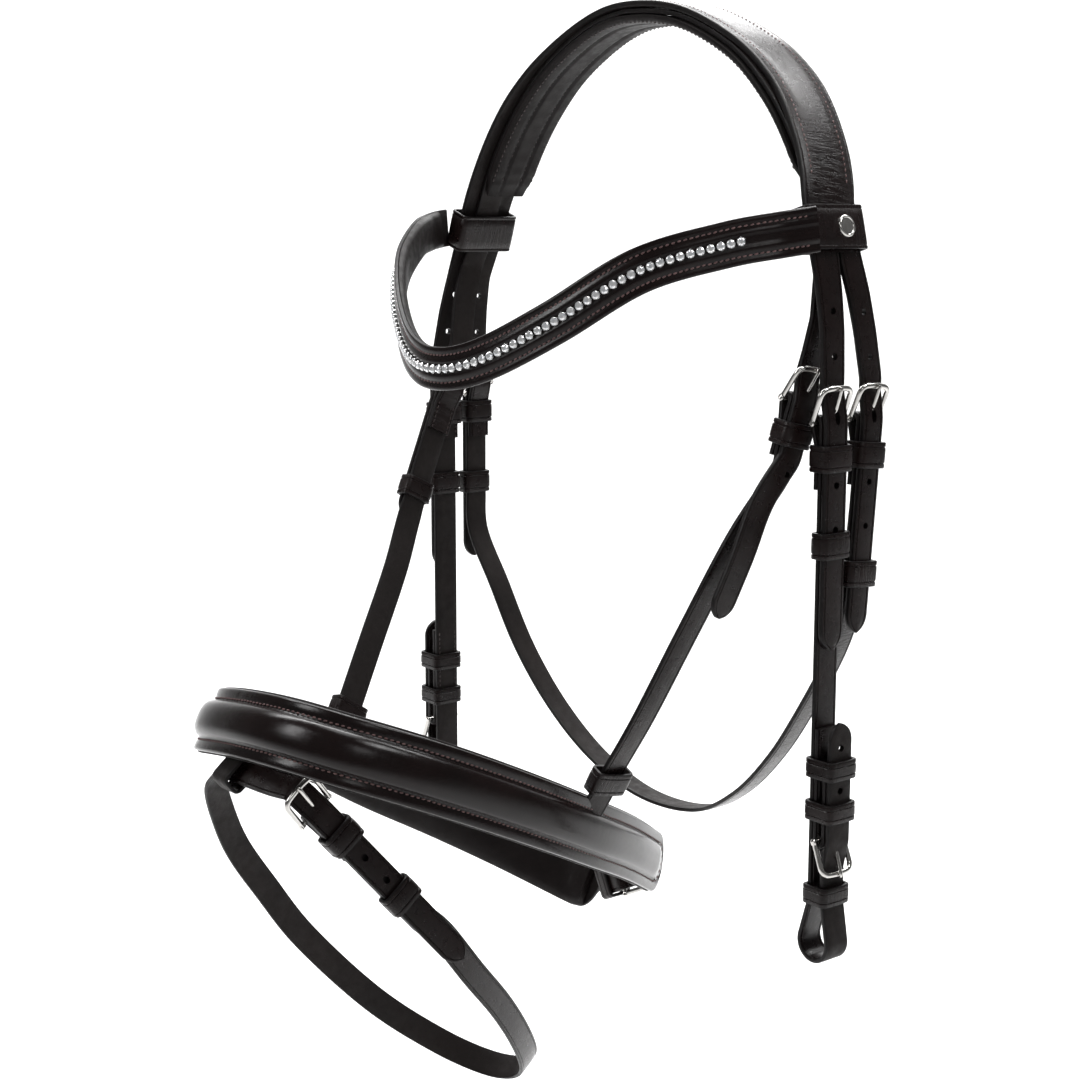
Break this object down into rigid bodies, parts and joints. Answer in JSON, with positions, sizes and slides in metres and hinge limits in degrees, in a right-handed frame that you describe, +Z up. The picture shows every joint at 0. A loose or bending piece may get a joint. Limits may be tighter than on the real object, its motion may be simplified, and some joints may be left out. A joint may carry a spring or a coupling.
{
  "type": "snaffle bridle",
  "caption": "Leather snaffle bridle with padded headpiece, curved crystal browband, throatlatch, cheekpieces, padded noseband and a flash strap.",
  "frame": {"origin": "underside of the headpiece at the middle of the poll, where the bridle hangs", "axes": "+X towards the horse's left (near) side, -Y towards the front of the face, +Z up"},
  "size_m": [0.3056, 0.2863, 0.5385],
  "materials": {
    "leather": "glossy dressed bridle leather with creased edges",
    "pad_leather": "soft matt lining leather over foam",
    "steel": "polished stainless steel",
    "chain": "bright silver cup chain",
    "crystal": "clear faceted crystal"
  },
  "bodies": {
    "headstall": {"headpiece_leather": "leather", "headpiece_pad": "pad_leather", "sliphead": "leather", "cheekpiece_near": "leather", "cheekpiece_far": "leather", "cheek_buckle_near": "steel", "cheek_buckle_far": "steel", "cheek_keepers": "leather", "bit_chape_near": "leather", "bit_chape_far": "leather", "bit_buckle_near": "steel", "bit_buckle_far": "steel", "bit_keepers": "leather", "throatlatch": "leather", "throat_buckle_near": "steel", "throat_buckle_far": "steel", "throat_keepers": "leather", "noseband_hanger_near": "leather", "noseband_hanger_far": "leather", "hanger_buckle_near": "steel", "hanger_buckle_far": "steel", "hanger_keeper_near": "leather"},
    "browband": {"browband_leather": "leather", "browband_lining": "pad_leather", "browband_loop_near": "leather", "browband_loop_far": "leather", "crystal_cup_chain": "chain", "browband_crystals": "crystal", "snap_studs": "steel"},
    "noseband": {"noseband_leather": "leather", "noseband_lining": "pad_leather", "noseband_loops": "leather", "chin_billet": "leather", "chin_chape": "leather", "chin_buckle": "steel", "chin_keeper": "leather", "flash_loop": "leather"},
    "flash": {"flash_strap": "leather", "flash_buckle": "steel", "flash_keeper": "leather"},
    "cheek_runner_near": {"cheek_runner_near": "leather"},
    "cheek_runner_far": {"cheek_runner_far": "leather"},
    "bit_runner_near": {"bit_runner_near": "leather"},
    "bit_runner_far": {"bit_runner_far": "leather"},
    "throat_runner_near": {"throat_runner_near": "leather"},
    "throat_runner_far": {"throat_runner_far": "leather"},
    "hanger_runner_far": {"hanger_runner_far": "leather"},
    "flash_runner": {"flash_runner": "leather"},
    "cheek_tongue_near": {"cheek_tongue_near": "steel"},
    "cheek_tongue_far": {"cheek_tongue_far": "steel"},
    "bit_tongue_near": {"bit_tongue_near": "steel"},
    "bit_tongue_far": {"bit_tongue_far": "steel"},
    "throat_tongue_near": {"throat_tongue_near": "steel"},
    "throat_tongue_far": {"throat_tongue_far": "steel"},
    "hanger_tongue_near": {"hanger_tongue_near": "steel"},
    "hanger_tongue_far": {"hanger_tongue_far": "steel"},
    "chin_tongue": {"chin_tongue": "steel"},
    "flash_tongue": {"flash_tongue": "steel"}
  },
  "joints": [
    {"name": "browband_slide", "type": "slide", "parent": "headstall", "child": "browband", "axis": [0, 0, 1], "range_m": [-0.002, 0.0015]},
    {"name": "noseband_tilt", "type": "hinge", "parent": "headstall", "child": "noseband", "pos_m": [-0.00625, -0.10315, -0.34975], "axis": [0.9605, 0.2754, -0.0404], "range_deg": [-4, 4]},
    {"name": "flash_swing", "type": "hinge", "parent": "noseband", "child": "flash", "pos_m": [0.001, -0.2325, -0.332], "axis": [1, 0, 0], "range_deg": [-14, 8]},
    {"name": "cheek_tongue_near_hinge", "type": "hinge", "parent": "headstall", "child": "cheek_tongue_near", "pos_m": [0.1353, -0.007, -0.182], "axis": [0, 1, 0], "range_deg": [0, 12]},
    {"name": "cheek_tongue_far_hinge", "type": "hinge", "parent": "headstall", "child": "cheek_tongue_far", "pos_m": [-0.1353, -0.023, -0.182], "axis": [0, -1, 0], "range_deg": [0, 12]},
    {"name": "bit_tongue_near_hinge", "type": "hinge", "parent": "headstall", "child": "bit_tongue_near", "pos_m": [0.1429, -0.007, -0.373], "axis": [0, -1, 0], "range_deg": [0, 12]},
    {"name": "bit_tongue_far_hinge", "type": "hinge", "parent": "headstall", "child": "bit_tongue_far", "pos_m": [-0.1429, -0.023, -0.373], "axis": [0, 1, 0], "range_deg": [0, 12]},
    {"name": "throat_tongue_near_hinge", "type": "hinge", "parent": "headstall", "child": "throat_tongue_near", "pos_m": [0.1353, 0.0166, -0.182], "axis": [0, 0.9968, -0.08], "range_deg": [0, 12]},
    {"name": "throat_tongue_far_hinge", "type": "hinge", "parent": "headstall", "child": "throat_tongue_far", "pos_m": [-0.1353, -0.0015, -0.182], "axis": [0, -1, 0], "range_deg": [0, 12]},
    {"name": "hanger_tongue_near_hinge", "type": "hinge", "parent": "headstall", "child": "hanger_tongue_near", "pos_m": [0.122, -0.013, -0.173], "axis": [0, 0.9793, -0.2023], "range_deg": [0, 9]},
    {"name": "hanger_tongue_far_hinge", "type": "hinge", "parent": "headstall", "child": "hanger_tongue_far", "pos_m": [-0.121, -0.03, -0.182], "axis": [0, -0.8964, 0.4432], "range_deg": [0, 12]},
    {"name": "chin_tongue_hinge", "type": "hinge", "parent": "noseband", "child": "chin_tongue", "pos_m": [-0.002, -0.008, -0.432], "axis": [-0.4632, 0, 0.8862], "range_deg": [0, 12]},
    {"name": "flash_tongue_hinge", "type": "hinge", "parent": "flash", "child": "flash_tongue", "pos_m": [0.0305, -0.2115, -0.348], "axis": [0, 0.7758, 0.631], "range_deg": [0, 12]},
    {"name": "cheek_runner_near_slide", "type": "slide", "parent": "headstall", "child": "cheek_runner_near", "axis": [0, 0, 1], "range_m": [-0.001, 0.008]},
    {"name": "cheek_runner_far_slide", "type": "slide", "parent": "headstall", "child": "cheek_runner_far", "axis": [0, 0, 1], "range_m": [-0.01, 0.008]},
    {"name": "bit_runner_near_slide", "type": "slide", "parent": "headstall", "child": "bit_runner_near", "axis": [0, 0, -1], "range_m": [-0.006, 0.006]},
    {"name": "bit_runner_far_slide", "type": "slide", "parent": "headstall", "child": "bit_runner_far", "axis": [0, 0, -1], "range_m": [-0.006, 0.006]},
    {"name": "throat_runner_near_slide", "type": "slide", "parent": "headstall", "child": "throat_runner_near", "axis": [0, 0.08, 0.9968], "range_m": [-0.0005, 0.008]},
    {"name": "throat_runner_far_slide", "type": "slide", "parent": "headstall", "child": "throat_runner_far", "axis": [0, 0, 1], "range_m": [-0.008, 0.008]},
    {"name": "hanger_runner_far_slide", "type": "slide", "parent": "headstall", "child": "hanger_runner_far", "axis": [-0.1298, 0.4394, 0.8888], "range_m": [-0.005, 0.01]},
    {"name": "flash_runner_slide", "type": "slide", "parent": "flash", "child": "flash_runner", "axis": [-0.1959, -0.6188, 0.7607], "range_m": [-0.008, 0.01]}
  ]
}
